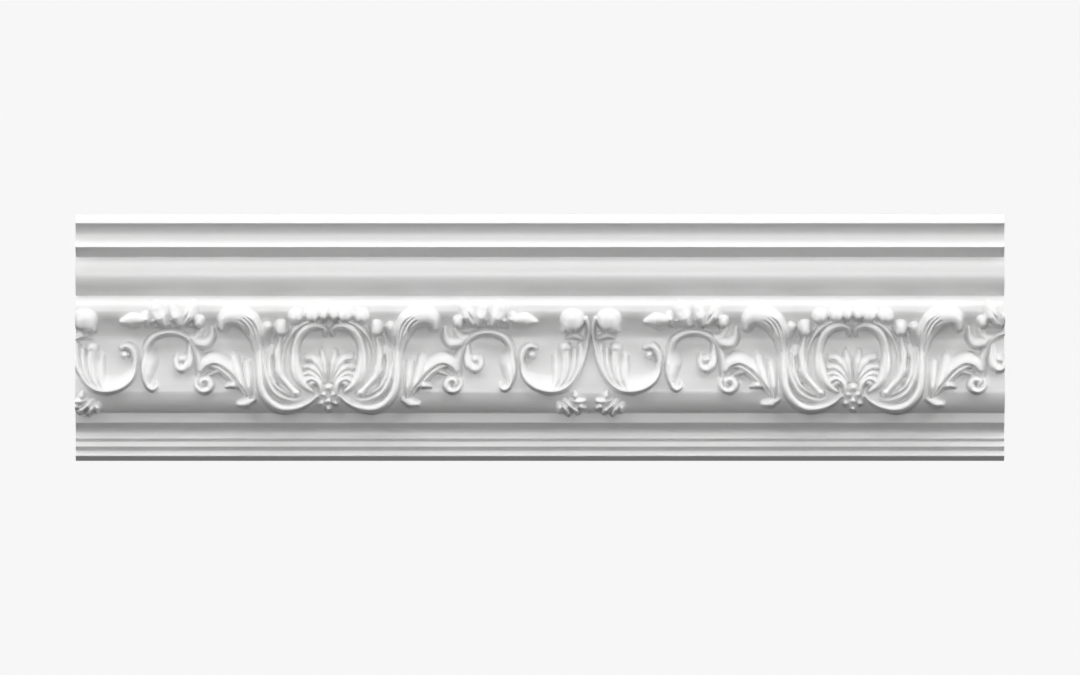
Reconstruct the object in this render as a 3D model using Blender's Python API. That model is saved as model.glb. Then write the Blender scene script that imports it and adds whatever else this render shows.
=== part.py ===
"""A cut length of carved cornice moulding, cast in one piece.

Metres, +Z up, X along the run. The wall is the plane y = 0 and the room lies towards -Y.
The origin is the middle of the strip that beds on the wall.
"""

import math

import bmesh
import bpy
import numpy as np

# Overall sizes
LENGTH = 0.532
WALL_DROP = 0.100
CEILING_PROJECTION = 0.100
WALL_BED = 0.0255
CEILING_BED = 0.0255

# Members from the ceiling edge down to the carved frieze
CEILING_FILLET = 0.0074
TOP_QUIRK = 0.0012
CAVETTO_RADIUS = 0.00805
ARRIS_FILLET = 0.0020
DRIP_SOFFIT = 0.0082
OVOLO_RADIUS = 0.0156
NOSE_FILLET = 0.0050
NOSE_RADIUS = 0.0076

# Members from the wall edge up to the carved frieze
FOOT_SOFFIT = 0.0042
FOOT_FILLET = 0.0040
LOWER_STEP = 0.0035
LOWER_FILLET = 0.0040
MIDDLE_STEP = 0.0024
SMALL_CAVETTO_RADIUS = 0.0046
UPPER_STEP = 0.0035
FASCIA_LEAN = 0.0042
FASCIA_RISE = 0.0040

# The frieze between them: it swells out over the fascia, then swings back in under the nose
SWELL_RADIUS = 0.0155
SWELL_TURN = 48.0  # degrees
SWELL_PULL = 0.010
FRIEZE_TOP_PULL = 0.016

# Carving
REPEAT = 0.300
FIRST_AXIS = 0.145  # from the left end to the middle of the first cartouche
RELIEF = 0.0130  # highest leaf above the frieze

# Fineness of the faceted solid
ARC_STEPS = 6
SWELL_STEPS = 12
FRIEZE_STEPS = 34
CARVING_STEP = 0.0011
TRIANGLES = 9200
FLAT_WITHIN = 0.00025  # points this close to a cut end or a bed lie in it

WHITE = (0.86, 0.86, 0.85, 1.0)

# The pattern sheet shows half a repeat, from the cartouche's axis to the middle of the paired scrolls,
# and the face from its wall edge up. Its sizes are millimetres of the full-size pattern.
SHEET_LENGTH = 150.0
SHEET_FOOT = 21.8
SHEET_TOP = 94.7
SHEET_RELIEF = 13.0
SHEET_STEP = 0.5
BLEND = 0.7  # how softly neighbouring forms run together
FULLNESS = 1.18  # how much broader every raised form is than its drawn line
CAST_SOFTNESS = 0.45  # rounding that casting leaves on every edge
LOW_FORMS = 1.35  # how much further the forms stand out below and above the middle of the frieze
HIGH_FORMS = 1.25
BURIED = 0.7  # share of the ground's stand that buries the carving, so that its crests keep level
BURIED_FROM = -1.0


def unit(y, z):
    size = math.hypot(y, z)
    return np.array([y / size, z / size])


def quarter(start, centre_offset, turn, radius):
    """Points of a quarter circle that leaves start, about start + centre_offset * radius."""
    centre = start + np.array(centre_offset) * radius
    arm = start - centre
    points = []
    for i in range(1, ARC_STEPS + 1):
        a = turn * math.pi / 2 * i / ARC_STEPS
        y, z = arm
        points.append(centre + (y * math.cos(a) - z * math.sin(a), y * math.sin(a) + z * math.cos(a)))
    return points


def upper_members():
    """Section points from the ceiling edge down to the frieze, and where the carved zone starts."""
    path = [np.array([-CEILING_PROJECTION, WALL_DROP - WALL_BED / 2])]

    def line(y, z):
        path.append(path[-1] + (y, z))

    line(0, -CEILING_FILLET)
    line(TOP_QUIRK, 0)
    path.extend(quarter(path[-1], (0, -1), -1, CAVETTO_RADIUS))
    line(0, -ARRIS_FILLET)
    line(DRIP_SOFFIT, 0)
    path.extend(quarter(path[-1], (1, 0), 1, OVOLO_RADIUS))
    carved_from = len(path) - 1
    for _ in range(ARC_STEPS):
        line(0, -NOSE_FILLET / ARC_STEPS)
    path.extend(quarter(path[-1], (1, 0), 1, NOSE_RADIUS))
    return path, carved_from


def lower_members():
    """Section points from the wall edge up to the frieze, and where the carved zone ends."""
    path = [np.array([0.0, -WALL_BED / 2])]

    def line(y, z):
        path.append(path[-1] + (y, z))

    line(-FOOT_SOFFIT, 0)
    line(0, FOOT_FILLET)
    line(-LOWER_STEP, 0)
    line(0, LOWER_FILLET)
    line(-MIDDLE_STEP, 0)
    path.extend(quarter(path[-1], (-1, 0), 1, SMALL_CAVETTO_RADIUS))
    line(-UPPER_STEP, 0)
    carved_to = len(path) - 1
    for _ in range(ARC_STEPS):
        line(-FASCIA_LEAN / ARC_STEPS, FASCIA_RISE / ARC_STEPS)
    return path, carved_to


def frieze_curve(top, foot):
    """The curve from the nose down to the fascia: a hollow under the nose, then a swell."""
    up, out = unit(-1, 1), unit(-1, -1)
    turn = math.radians(SWELL_TURN)
    swell = []
    for i in range(1, SWELL_STEPS + 1):
        a = turn * (1 - i / SWELL_STEPS)
        rise, stand = math.sin(turn) - math.sin(a), math.cos(a) - math.cos(turn)
        swell.append(foot + SWELL_RADIUS * (rise * up + stand * out))
    crest = swell[-1]
    handles = (crest, crest + up * SWELL_PULL, top + (FRIEZE_TOP_PULL, 0), top)
    hollow = []
    for i in range(1, FRIEZE_STEPS):
        t = i / FRIEZE_STEPS
        weights = ((1 - t) ** 3, 3 * t * (1 - t) ** 2, 3 * t * t * (1 - t), t**3)
        hollow.append(sum(w * h for w, h in zip(weights, handles)))
    return (swell + hollow)[::-1]


class Face:
    """The raking plane through the wall edge and the ceiling edge, on which the carving is drawn."""

    def __init__(self, wall_edge, ceiling_edge):
        self.foot = wall_edge
        self.up = unit(*(ceiling_edge - wall_edge))
        self.out = np.array([-self.up[1], self.up[0]])

    def height(self, point):
        return float((np.asarray(point) - self.foot) @ self.up)

    def stand(self, point):
        return float((np.asarray(point) - self.foot) @ self.out)


def smooth_path(points, per_span=10):
    """A smooth line through the points, each span cut into short steps."""
    p = np.array(points, float)
    p = np.vstack([2 * p[0] - p[1], p, 2 * p[-1] - p[-2]])
    out = []
    for i in range(1, len(p) - 2):
        a, b, c, d = p[i - 1 : i + 3]
        for k in range(per_span):
            t = k / per_span
            bend = (2 * a - 5 * b + 4 * c - d) * t * t + (3 * b - a - 3 * c + d) * t**3
            out.append(0.5 * (2 * b + (c - a) * t + bend))
    out.append(p[-2])
    return np.array(out)


def spiral(x, y, first, last, start, end):
    """A scroll about x, y whose radius runs from first to last, between two angles in degrees."""
    a = np.radians(np.linspace(start, end, max(6, int(abs(end - start) / 30))))
    r = np.linspace(first, last, len(a))
    return np.stack([x + r * np.cos(a), y + r * np.sin(a)], axis=1)


class Sheet:
    """The carving of half a repeat, as heights above the plain frieze."""

    def __init__(self):
        self.x = np.arange(0, SHEET_LENGTH + SHEET_STEP / 2, SHEET_STEP)
        self.y = np.arange(SHEET_FOOT, SHEET_TOP + SHEET_STEP / 2, SHEET_STEP)
        self.height = np.zeros((len(self.y), len(self.x)))

    def window(self, low, high):
        """The rows and columns that a form can reach, and their coordinates."""
        cols = slice(*np.searchsorted(self.x, (low[0], high[0])))
        rows = slice(*np.searchsorted(self.y, (low[1], high[1])))
        return rows, cols, *np.meshgrid(self.x[cols], self.y[rows])

    def raise_to(self, rows, cols, form):
        here = self.height[rows, cols]
        near = np.clip(1 - np.abs(here - form) / BLEND, 0, 1)
        self.height[rows, cols] = np.where(form > 0, np.maximum(here, form) + near**2 * BLEND / 4, here)

    def band(self, points, widths, heights, inner=None, sag=0.45, crown=2.2, edge=0.5, cut=False):
        """A leaf, rib or scroll along a smooth path, with half widths and crest heights spread along it.

        sag lowers its crest, so that its lower side is steep. inner widths on its left side make it a
        scoop that fades out on that side, and a cut one is a groove.
        """
        path = smooth_path(points)
        steps = np.diff(path, axis=0)
        lengths = np.hypot(*steps.T)
        along = np.concatenate([[0], np.cumsum(lengths)]) / lengths.sum()
        full = 1 if cut else FULLNESS
        widths = [full * w for w in widths]
        reach = max(*widths, *(inner or ())) + SHEET_STEP
        rows, cols, gx, gy = self.window(path.min(0) - reach, path.max(0) + reach)
        if gx.size == 0:
            return
        best = np.full(gx.shape, np.inf)
        share = np.zeros(gx.shape)
        scooped = np.zeros(gx.shape, bool)
        sag = 0 if inner or cut else sag
        for (px, py), (dx, dy), size, a in zip(path, steps, lengths, along):
            t = np.clip(((gx - px) * dx + (gy - py) * dy) / size**2, 0, 1)
            ox, oy = gx - px - t * dx, gy - py - t * dy
            here = a + t * size / lengths.sum()
            width = np.interp(here, np.linspace(0, 1, len(widths)), widths)
            left = dx * oy > dy * ox
            if inner:
                width = np.where(left, np.interp(here, np.linspace(0, 1, len(inner)), inner), width)
            up, across = oy / width + sag, ox / width
            q = (np.sqrt(up**2 + (1 - sag**2) * across**2) - sag * up) / (1 - sag**2)
            closer = q < best
            best = np.where(closer, q, best)
            share = np.where(closer, here, share)
            scooped = np.where(closer, left & bool(inner), scooped)
        crest = np.interp(share, np.linspace(0, 1, len(heights)), heights)
        q = np.clip(best, 0, 1)
        form = crest * np.where(scooped, (1 - q**1.4) ** 1.3, (1 - q**crown) ** edge)
        if cut:
            self.height[rows, cols] = np.maximum(self.height[rows, cols] - form, 0)
        else:
            self.raise_to(rows, cols, form)

    def groove(self, points, width, depth):
        """A narrow valley that fades out at both its ends."""
        widths = (width * 0.4, width, width, width * 0.4)
        self.band(points, widths, (depth * 0.4, depth, depth * 0.4), edge=1.0, cut=True)

    def dome(self, x, y, rx, ry, height, drop=0.0, crown=2.0, edge=0.5):
        """A bead, boss or turned-over leaf tip. drop moves its highest point down."""
        rows, cols, gx, gy = self.window((x - rx, y - ry), (x + rx, y + ry))
        across, up = (gx - x) / rx, (gy - y) / ry + drop * (1 - np.abs((gx - x) / rx) ** 2)
        up = np.where(up > 0, up / (1 + drop), up / (1 - drop))
        q = (np.abs(across) ** crown + np.abs(up) ** crown) ** (1 / crown)
        self.raise_to(rows, cols, height * np.clip(1 - q**2.1, 0, 1) ** edge)

    def soften(self, buried):
        """Sinks the foot of what crosses the nose and the fascia, and rounds every edge as casting does.

        buried is the height that each row loses. The sheet's rim comes down to the plain member.
        """
        self.height = np.maximum(self.height - buried[:, None], 0)
        reach = int(3 * CAST_SOFTNESS / SHEET_STEP) + 1
        k = np.exp(-0.5 * (np.arange(-reach, reach + 1) * SHEET_STEP / CAST_SOFTNESS) ** 2)
        k /= k.sum()
        padded = np.pad(self.height, reach, mode="reflect")
        blurred = np.apply_along_axis(lambda line: np.convolve(line, k, "valid"), 0, padded)
        self.height = np.apply_along_axis(lambda line: np.convolve(line, k, "valid"), 1, blurred)
        rim = np.minimum(self.y - self.y[0], self.y[-1] - self.y) / (2 * SHEET_STEP)
        self.height *= np.clip(rim, 0, 1)[:, None]

    def at(self, x, y):
        """Height at a point of the sheet, between the four nearest grid points."""
        i = np.clip((y - self.y[0]) / SHEET_STEP, 0, len(self.y) - 1.001)
        j = np.clip((x - self.x[0]) / SHEET_STEP, 0, len(self.x) - 1.001)
        i0, j0 = int(i), int(j)
        fi, fj = i - i0, j - j0
        h = self.height
        low = h[i0, j0] * (1 - fj) + h[i0, j0 + 1] * fj
        high = h[i0 + 1, j0] * (1 - fj) + h[i0 + 1, j0 + 1] * fj
        return low * (1 - fi) + high * fi


def carve_cartouche(sheet):
    """The fringe round the cartouche: its body, the ridges on it and its rim."""
    body = [(27, 75), (30.5, 68), (31.5, 58), (29.8, 49), (25.5, 41.4), (19, 36.6), (12, 36)]
    sheet.band(body, (3, 5.5, 7.4, 7.8, 7.2, 5, 3), (2.6, 3.4, 3.8, 4.4, 5.2, 5.6, 5), sag=0, crown=6)
    rim = [(39.2, 73), (39.4, 61), (39.2, 50.5), (37.9, 41.6), (34.1, 35.2), (29, 31.5), (23.6, 30.4),
        (16.6, 31.5)]
    rim += [(10.8, 34.2), (6.8, 37.6)]
    rim_widths = (0.8, 1.2, 1.9, 2.4, 2.8, 2.9, 2.8, 2.4, 2.0, 1.5)
    sheet.band(rim, rim_widths, (5, 6.4, 8, 9, 9.4, 9.4, 9.2, 8.4, 7.4, 6.6))
    second = [(37.2, 63), (36.8, 55), (34.6, 46.8), (30.8, 40.2), (25.6, 36.6), (20, 35.2), (15.6, 35.9)]
    sheet.band(second, (0.8, 1.3, 1.8, 2.0, 1.9, 1.7, 1.2), (5.6, 7.2, 8.4, 8.8, 8.4, 7.4, 5.6))
    first = [(33.8, 61), (33.8, 54), (32, 47.2), (28.4, 42.2), (24, 39), (20.2, 37.8)]
    sheet.band(first, (0.9, 1.5, 1.9, 2.0, 1.8, 1.2), (5.6, 7.6, 8.6, 8.6, 7.8, 6))
    wavy = [(27, 74), (28.4, 67), (29.2, 60), (28.8, 54), (27.2, 49.4), (24, 45.6), (20.8, 42),
        (18.8, 39.4)]
    sheet.band(wavy, (1.6, 1.6, 2.1, 2.3, 2.7, 2.4, 2.4, 2.8), (6.2, 7, 8, 8.4, 9, 8.6, 8.8, 8.4))
    sheet.dome(18.6, 39.2, 3.4, 3.1, 8.8)
    sheet.groove([(31.5, 60.6), (31.6, 57), (30.8, 53.2)], 1.3, 4.0)
    sheet.groove([(29.8, 44.6), (27, 43), (24.2, 41.8)], 1.2, 4.0)
    sheet.groove([(28.6, 74.4), (30, 70.6), (31.2, 66.6)], 1.5, 2.6)
    sheet.groove([(32.4, 77), (33.6, 71), (35.6, 65)], 1.0, 3.0)


def carve_scroll(sheet):
    """The C scroll round the shell, a roll, a channel and a rib, and the bosses over it."""
    channel = [(8, 78.6), (15, 76.4), (20.4, 71.4), (23, 64.6), (23.4, 57), (22, 50.6), (18.6, 45.6)]
    sheet.band(channel, (1.6, 2.4, 2.8, 3.2, 3.4, 3.2, 2.2), (4, 4), sag=0, crown=6)
    rib = [(5.6, 79.8), (11, 79.8), (16, 77.8), (20.8, 73.4), (24.2, 67.4), (25.9, 60), (25.6, 53),
        (23.6, 47.6), (20, 43.8)]
    sheet.band(rib, (0.8, 1.3, 1.5, 1.4, 1.3, 1.2, 1.2, 1.1, 0.8), (5.6, 6.8, 7, 6.6, 6.4, 6.2, 6.2, 6.2,
        5.4))
    roll = [(2.2, 72.8), (2.0, 75.4), (4.6, 77.4), (9, 77.8), (13.4, 75.9), (16.9, 72), (18.9, 66.4),
        (19.4, 59.6)]
    roll += [(18.6, 52.6), (16.2, 46.8), (12.8, 43), (9.4, 40.6)]
    roll_widths = (1.1, 1.7, 2.3, 2.7, 2.5, 2.3, 2.4, 3.0, 3.5, 3.3, 2.6, 1.8)
    sheet.band(roll, roll_widths, (5.2, 6.2, 7.4, 7.8, 7.6, 7.4, 7.6, 8.2, 8.6, 8.4, 7.6, 6.6))
    sheet.dome(9.4, 83.6, 5.3, 5.4, 10.6, drop=0.5)
    sheet.dome(3.2, 83.8, 3.6, 4.7, 9.8, drop=0.45)
    sheet.dome(18.4, 82.8, 5.2, 5.2, 10.6, drop=0.5)
    sheet.dome(27.3, 76.0, 4.4, 5.4, 9.4, drop=0.5)


def carve_shell(sheet):
    """The fan of lobes inside the cartouche, with its bulbs, collar and rosette."""
    sheet.dome(0, 50, 9, 9, 3.4, crown=2.4, edge=1.0)
    lobes = (
        (((1.2, 46), (2.2, 54), (3.8, 62.8)), (1.0, 1.8, 2.2, 1.6)),
        (((2, 46), (4.4, 53.4), (8.2, 58.8), (12.2, 59.6)), (1.1, 2.1, 2.6, 2.3)),
        (((2.8, 45.6), (6, 51), (9.8, 54.2), (13.2, 54.2)), (1.1, 1.9, 2.3, 2.0)),
        (((3.4, 45), (7.2, 49), (10.8, 50.8), (13.4, 50.2)), (1.1, 1.8, 2.0, 1.6)),
    )
    for path, widths in lobes:
        sheet.band(path, widths, (6, 7.2, 7.6, 6.2), sag=0.45)
    sheet.dome(9.2, 44.2, 4.4, 4.2, 7.6)
    bulb = [(5.4, 36.8), (4.6, 41), (5.8, 45.4), (9.4, 47.8), (12.8, 46.2), (13, 43.2), (10.6, 42.2)]
    sheet.band(bulb, (1.3, 1.6, 1.9, 2.1, 2.1, 1.8, 1.3), (6, 6.8, 7.4, 7.8, 7.8, 7.4, 6.4))
    sheet.groove([(7.8, 38.2), (7.6, 41.4), (8.8, 43.8)], 0.9, 4.0)
    sheet.dome(0, 42, 3.4, 2.8, 7.4, crown=4)
    sheet.dome(0, 34.4, 2.3, 2.4, 8.8)
    for turn in (-90, -18, 54):
        x, y = 4.3 * math.cos(math.radians(turn)), 34.4 + 4.5 * math.sin(math.radians(turn))
        sheet.dome(x, y, 2.4, 2.2, 7.4)


def carve_curled_leaf(sheet):
    """The tall leaf that rises beside the cartouche and curls over to the outside."""
    spine = [(40, 50), (40.6, 60), (41, 68), (42.2, 74), (45.4, 79.6), (50.5, 83), (55.6, 83.5), (59, 81.6),
        (60.2, 77.8)]
    widths = (0.9, 1.3, 2.0, 3.2, 4.8, 5.6, 5.6, 4.8, 3.2)
    sheet.band(spine, widths, (4.4, 5, 5.8, 7.2, 9.4, 10.8, 11, 10.2, 8), sag=0.65)
    for a, b in ((-0.9, 0.0), (0.9, -0.6), (2.8, -2.0)):
        sheet.groove([(41.2 + 0.6 * a, 69), (42 + a, 74.2 + b), (44.6 + a, 79.4 + b), (48 + a, 82.2 + b)],
            0.7, 2.2)
    sheet.band([(35.2, 77), (36.4, 73.2), (37.6, 67)], (2.6, 2.2, 0.8), (8.4, 7.4, 4.8))


def carve_spray(sheet):
    """Acanthus lobes that spring from the cartouche's foot and end in a scroll."""
    lobes = (
        (((45.2, 37), (46.2, 44), (47.2, 51), (47.9, 56.4)), (1.3, 2.5, 2.9, 2.6), (6.8, 8, 7.4, 5.2)),
        (((47.4, 38.5), (50.8, 46), (53.2, 53), (54, 60)), (1.3, 2.6, 3.1, 2.5), (7, 8.2, 7.6, 5.2)),
        (
            ((46, 36.6), (51.6, 45), (57.4, 52.6), (63.4, 57.2), (69, 57.4), (73, 53)),
            (1.2, 2.6, 4.2, 4.8, 4.0, 2.3),
            (5.4, 6.6, 7.8, 8.4, 8.2, 7),
        ),
        (((57.6, 49.6), (63, 52), (68.4, 49.8)), (0.9, 2.3, 1.3), (4.6, 7, 5.6)),
        (((49.4, 41.2), (53.4, 43.8), (58, 42.4)), (1.3, 2.8, 1.1), (5.6, 7.8, 5)),
        (((43, 35.4), (47, 33.8), (51, 33.2)), (1.8, 3.0, 2.0), (7.2, 8.8, 7.2)),
    )
    for path, widths, heights in lobes:
        sheet.band(path, widths, heights, sag=0.5)
    sheet.groove([(46, 36.6), (52, 44.8), (58, 51.4), (64.4, 55), (69.6, 53.6), (72, 50.8)], 0.8, 3.2)
    sheet.band(spiral(70.8, 44.8, 5.2, 1.3, 20, -400), (1.5, 1.8, 2.3, 2.5, 2.1, 1.4),
        (6.6, 7.4, 8, 8, 7.6, 7))


def carve_arch(sheet):
    """The slender arched stem, its leaf-like leg, its hook and the tulip at its shoulder."""
    stem = [(74.6, 47), (74, 54), (75, 61.4), (77.6, 67.4), (82, 71.6), (87.6, 73.7), (93.4, 73.9),
        (98.8, 72.2)]
    stem += [(102.6, 68.8), (104.6, 64), (105, 58)]
    stem_widths = (1.8, 2.2, 2.1, 1.9, 1.8, 1.8, 1.8, 1.9, 1.9, 1.8, 1.5)
    sheet.band(stem, stem_widths, (5.6, 6.4, 6.2, 6.2, 6.2, 6.4, 6.8, 7.2, 7, 6.6, 6))
    leg = [(100.6, 42.2), (103.4, 43), (105.2, 47.4), (105.8, 53), (105.2, 60), (104.2, 66)]
    sheet.band(leg, (1.4, 1.6, 1.8, 1.8, 1.5, 1.2), (6.4, 7.4, 7.8, 7.8, 6.8, 5.6),
        inner=(2, 4.5, 9.5, 11, 6, 2))
    sheet.band([(98.4, 45.4), (98.6, 42.8), (100.8, 41.4), (103.4, 42.8)], (1.0, 1.5, 1.7, 1.6),
        (5.6, 6.8, 7.4, 7.2))
    sheet.groove([(99.8, 46.0), (101, 44.2), (103, 45.0)], 0.8, 4.4)
    hook = [(79.8, 68.4), (79.4, 62.4), (80, 56.8), (82.8, 53.4), (86, 54.4), (87.4, 58), (87.2, 61)]
    sheet.band(hook, (0.9, 1.4, 1.9, 2.5, 2.4, 1.8, 1.0), (4.2, 5.4, 7, 8, 7.8, 6.8, 5))
    sheet.dome(84, 58.8, 2.6, 2.4, 6.8)
    tulip = [(66.7, 75.6), (67.4, 70.8), (70.2, 67.8), (74.4, 68.2), (78.2, 71)]
    sheet.band(tulip, (1.2, 2.3, 3.0, 3.1, 2.2), (5, 6.4, 8, 8.2, 7))
    sheet.band([(73, 75), (74.8, 72.2), (76.8, 70.4)], (1.5, 2.3, 2.2), (5.8, 7, 7))


def carve_flowers(sheet):
    """The garland of buds, petals and berries that lies on the arch."""
    sheet.band([(77, 79.2), (90, 80), (106, 79)], (2.2, 3.6, 2.2), (3, 3.8, 3), crown=4)
    petals = (
        (((82.4, 79), (79.4, 84.2), (77.2, 89)), (1.9, 3.5, 3.2), 9),
        (((85.8, 78.8), (87.4, 83.8), (88.8, 88.2)), (2.0, 3.4, 3.0), 9),
        (((93.8, 78.8), (96.6, 83.8), (98.6, 88.2)), (2.2, 4.2, 3.9), 9.6),
        (((103.9, 79.6), (104.7, 84.2)), (1.9, 2.5), 8.2),
        (((106.6, 80.8), (112, 81.2), (118.4, 80)), (2.7, 3.7, 1.6), 9),
        (((107, 78.2), (111.6, 77.8), (116, 78.8)), (1.5, 1.9, 0.9), 6),
    )
    for path, widths, height in petals:
        sheet.band(path, widths, (height * 0.9, height, height * 0.72), sag=0.5, edge=0.55)
    sheet.dome(74.4, 79.8, 4.0, 4.3, 9, drop=0.45)
    for x, y, r in ((89.6, 80.8, 1.9), (85.8, 77.4, 1.4), (91.6, 78, 1.5), (96.4, 78, 1.5),
        (100.2, 80, 2.2), (103.8, 77.6, 1.5)):
        sheet.dome(x, y, r, r, 7)
    sheet.groove([(83.6, 79.4), (81.4, 82.4), (79.8, 85.4)], 0.7, 2.4)


def carve_cupped_leaf(sheet):
    """The large leaf of each pair: a cup, its fingers, a volute and a turned-over tip."""
    rim = [(110.6, 57), (110.8, 50.6), (113.6, 45.4), (118.8, 41.6), (125.4, 39.6), (132, 40), (138, 43.6),
        (142.8, 50)]
    rim += [(146, 58.4), (147.9, 67), (148.4, 75), (147, 81)]
    sheet.band(
        rim, (1.1, 1.4, 1.7, 1.9, 1.9, 1.8, 1.6, 1.5, 1.3, 1.2, 1.3, 1.7),
        (6.8, 7.6, 8.4, 8.8, 8.8, 8.2, 7.4, 6.6, 6, 5.6, 5.8, 6.2), inner=(2.5, 6, 11.5, 15, 16.5, 16, 14,
            9, 5, 3, 2, 1.8),
    )
    fingers = (
        (((128.8, 41.6), (130.4, 48), (129.6, 55), (127.8, 60.6)), (1.6, 2.6, 2.9, 1.8), (7.8, 7.8, 7, 5)),
        (((131.2, 41.8), (134.6, 48), (136, 55), (135.8, 60.6), (134.6, 64.6)), (1.4, 2.2, 2.2, 2.2, 2.2),
            (7.8, 8.2, 7.8, 7.2, 7)),
        (((134.6, 42.8), (138.6, 49), (140.4, 56), (140.8, 63.6)), (1.3, 1.9, 1.9, 1.4),
            (7.6, 7.8, 7.2, 5.8)),
        (((138.2, 44.8), (142.4, 51.4), (144.2, 59), (144, 66.6)), (1.3, 1.8, 1.8, 1.3),
            (7.4, 7.6, 6.8, 5.4)),
    )
    for path, widths, heights in fingers:
        sheet.band(path, widths, heights)
    sheet.dome(135.4, 65, 3.5, 3.3, 7.4, drop=0.2)
    sheet.band([(110.5, 54), (110.6, 60), (112.4, 64.4), (115.6, 66.2), (118.6, 65)],
        (1.3, 1.7, 2.0, 1.9, 1.3), (6.8, 7.4, 7.8, 7.4, 5.4))
    sheet.dome(116.2, 61, 2.8, 2.6, 7.4, drop=0.2)
    sheet.dome(139.6, 80.2, 7.4, 7.4, 11, drop=0.5)
    sheet.band([(136, 80), (135, 75.2)], (2.6, 1.8), (9, 6.8))
    sheet.band([(136.8, 70.8), (140.6, 72), (144.8, 70.2)], (1.0, 1.8, 1.1), (4.6, 6.2, 5.2))


def carve_tassel(sheet):
    """The small ragged leaf that hangs below each cupped leaf."""
    sheet.dome(139.4, 33.2, 7.6, 5.8, 5.2, edge=1.0)
    fingers = (
        ((140.6, 39.6), (141.4, 36)),
        ((138.6, 35.2), (143, 34.4), (146, 34.6)),
        ((143.0, 33.0), (146, 30.6)),
        ((134.8, 35.0), (138.4, 31.8), (140.8, 29.6)),
        ((133.6, 32.6), (136.2, 29.6), (137.4, 27.6)),
        ((131.8, 33.2), (132.6, 29.2)),
        ((140.2, 31.0), (142.6, 28.6)),
    )
    for path in fingers:
        sheet.band(path, (1.3, 1.9, 1.5), (6, 7.4, 6.6))


def pattern_sheet(high, stand):
    """The carved sheet. high and stand give the plain section, in the sheet's own millimetres."""
    sheet = Sheet()
    for carve in (
        carve_cartouche,
        carve_scroll,
        carve_shell,
        carve_curled_leaf,
        carve_spray,
        carve_arch,
        carve_flowers,
        carve_cupped_leaf,
        carve_tassel,
    ):
        carve(sheet)
    plain = np.interp(sheet.y, high, stand)
    sheet.height *= np.interp(sheet.y, (64, 82), (LOW_FORMS, HIGH_FORMS))[:, None]
    sheet.soften(np.clip((plain - BURIED_FROM) * BURIED, 0, None))
    return sheet


def section():
    """The closed outline of the moulding, and the first and last corners of its carved stretch."""
    upper, carved_from = upper_members()
    lower, carved_to = lower_members()
    frieze = frieze_curve(upper[-1], lower[-1])
    front = upper + frieze + lower[::-1]
    last_carved = len(front) - 1 - carved_to
    back = [np.array([0.0, WALL_BED / 2]), front[0] + (CEILING_BED, 0)]
    return front + back, carved_from, last_carved


def blank_length(outline, first_carved, last_carved):
    """The plain moulding, pushed out along X, with its carved stretch cut into a net."""
    bm = bmesh.new()
    corners = [bm.verts.new((-LENGTH / 2, y, z)) for y, z in outline]
    end = bm.faces.new(corners)
    grown = bmesh.ops.extrude_face_region(bm, geom=[end], use_keep_orig=True)
    far = [v for v in grown["geom"] if isinstance(v, bmesh.types.BMVert)]
    bmesh.ops.translate(bm, vec=(LENGTH, 0, 0), verts=far)
    bmesh.ops.recalc_face_normals(bm, faces=bm.faces)
    carved = corners[first_carved : last_carved + 1]
    runs = [e for v in carved for e in v.link_edges if abs(e.verts[0].co.x - e.verts[1].co.x) > LENGTH / 2]
    cuts = round(LENGTH / CARVING_STEP) - 1
    bmesh.ops.subdivide_edges(bm, edges=runs, cuts=cuts, use_grid_fill=True)
    return bm


def sheet_x(x):
    """Where a station along the length falls on the half repeat of the pattern sheet."""
    run = (x + LENGTH / 2 - FIRST_AXIS) / REPEAT
    return abs(run - round(run)) * 2 * SHEET_LENGTH


def raise_carving(bm, outline, first_carved, last_carved):
    """Moves the net's points out from the raking face by the height of the carving."""
    face = Face(np.array([0.0, -WALL_BED / 2]), outline[0])
    top, foot = face.height(outline[first_carved]), face.height(outline[last_carved])
    carved = outline[first_carved : last_carved + 1][::-1]
    high = [SHEET_FOOT + (face.height(p) - foot) / (top - foot) * (SHEET_TOP - SHEET_FOOT) for p in carved]
    stand = [face.stand(p) * 1000 for p in carved]
    sheet = pattern_sheet(high, stand)
    scale = RELIEF / SHEET_RELIEF
    for vert in bm.verts:
        height = face.height((vert.co.y, vert.co.z))
        if foot < height < top:
            y = SHEET_FOOT + (height - foot) / (top - foot) * (SHEET_TOP - SHEET_FOOT)
            raised = sheet.at(sheet_x(vert.co.x), y) * scale
            vert.co.y += face.out[0] * raised
            vert.co.z += face.out[1] * raised


def thin_out(obj):
    """Spends the solid's triangles where the carving is, and keeps its cut ends and beds flat."""
    triangles = sum(len(face.vertices) - 2 for face in obj.data.polygons)
    modifier = obj.modifiers.new("Fewer triangles", "DECIMATE")
    modifier.ratio = min(1.0, TRIANGLES / triangles)
    bpy.context.view_layer.update()
    graph = bpy.context.evaluated_depsgraph_get()
    thinned = bpy.data.meshes.new_from_object(obj.evaluated_get(graph))
    obj.modifiers.clear()
    obj.data = thinned
    ceiling = WALL_DROP - WALL_BED / 2
    for vert in thinned.vertices:
        x, y, z = vert.co
        if abs(x) > LENGTH / 2 - FLAT_WITHIN:
            vert.co.x = math.copysign(LENGTH / 2, x)
        if y > -FLAT_WITHIN:
            vert.co.y = 0
        if z > ceiling - FLAT_WITHIN:
            vert.co.z = ceiling


def cast_white():
    material = bpy.data.materials.new("Satin white cast polyurethane")
    material.use_nodes = True
    shader = material.node_tree.nodes["Principled BSDF"]
    shader.inputs["Base Color"].default_value = WHITE
    shader.inputs["Roughness"].default_value = 0.38
    shader.inputs["Metallic"].default_value = 0.0
    return material


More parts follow.
